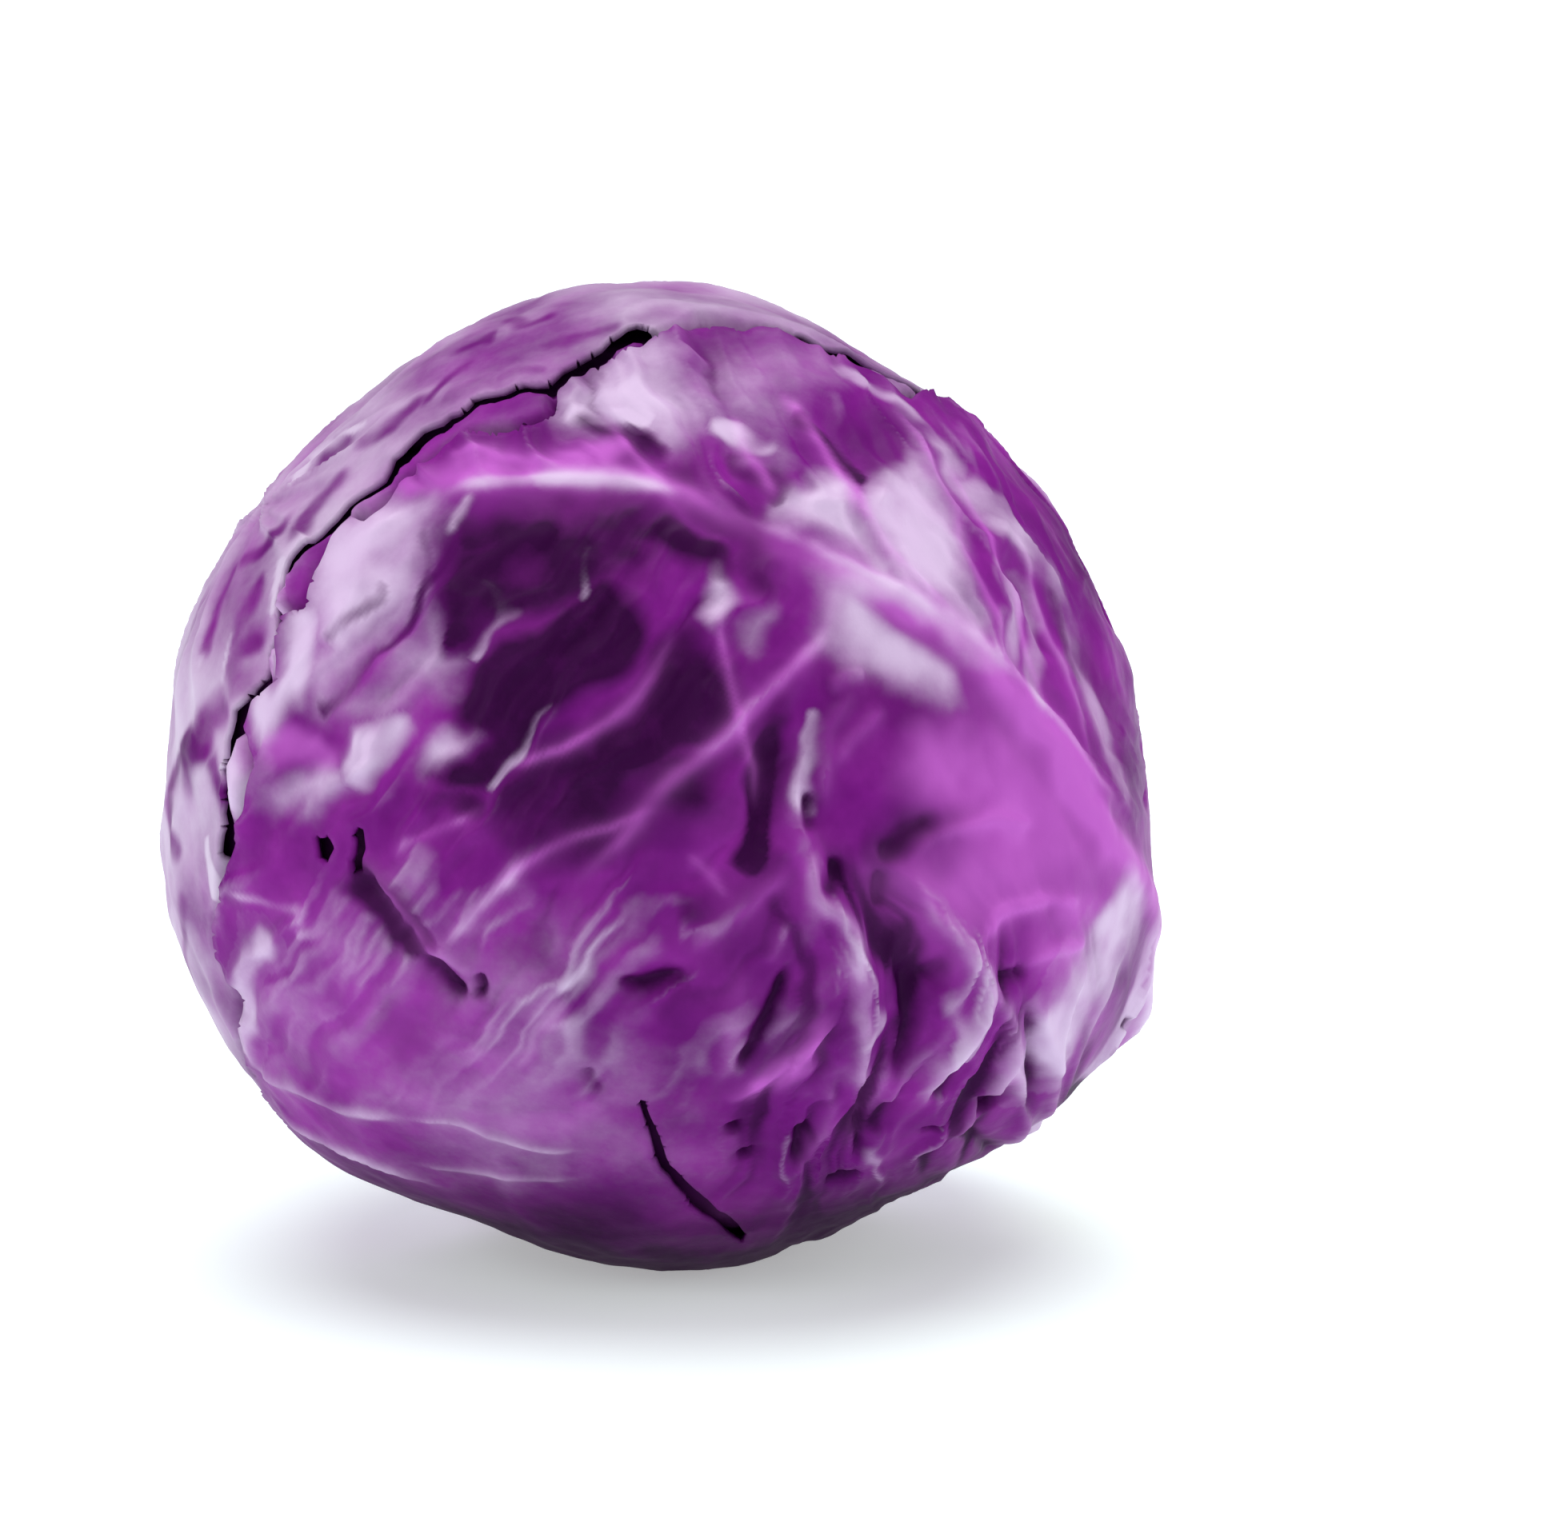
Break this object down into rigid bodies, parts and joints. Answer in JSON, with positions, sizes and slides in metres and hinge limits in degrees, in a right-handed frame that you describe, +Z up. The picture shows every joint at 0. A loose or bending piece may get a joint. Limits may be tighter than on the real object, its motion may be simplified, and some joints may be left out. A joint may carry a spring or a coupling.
{
  "type": "red cabbage head",
  "caption": "Whole head of red cabbage lying on its side on a small flat spot, its wrapper leaves folded over a closed heart, with the cut stem end at the lower right.",
  "frame": {"origin": "middle of the small flat spot that the head rests on", "axes": "+Z up, out of the surface that it rests on; -Y towards the head's face, where the front wrapper leaf shows; +X to the right of the face, towards the stem end"},
  "size_m": [0.1619, 0.1575, 0.1558],
  "materials": {
    "stem_butt": "matte",
    "heart": "satin",
    "heart_leaf_front": "satin",
    "heart_leaf_under": "satin",
    "heart_leaf_top": "satin",
    "lower_wrapper_leaf": "satin",
    "back_wrapper_leaf": "satin",
    "front_wrapper_leaf": "satin"
  },
  "bodies": {
    "root": {"stem_butt": "stem_butt", "heart": "heart", "heart_leaf_front": "heart_leaf_front", "heart_leaf_under": "heart_leaf_under", "heart_leaf_top": "heart_leaf_top", "lower_wrapper_leaf": "lower_wrapper_leaf", "back_wrapper_leaf": "back_wrapper_leaf", "front_wrapper_leaf": "front_wrapper_leaf"}
  },
  "joints": []
}
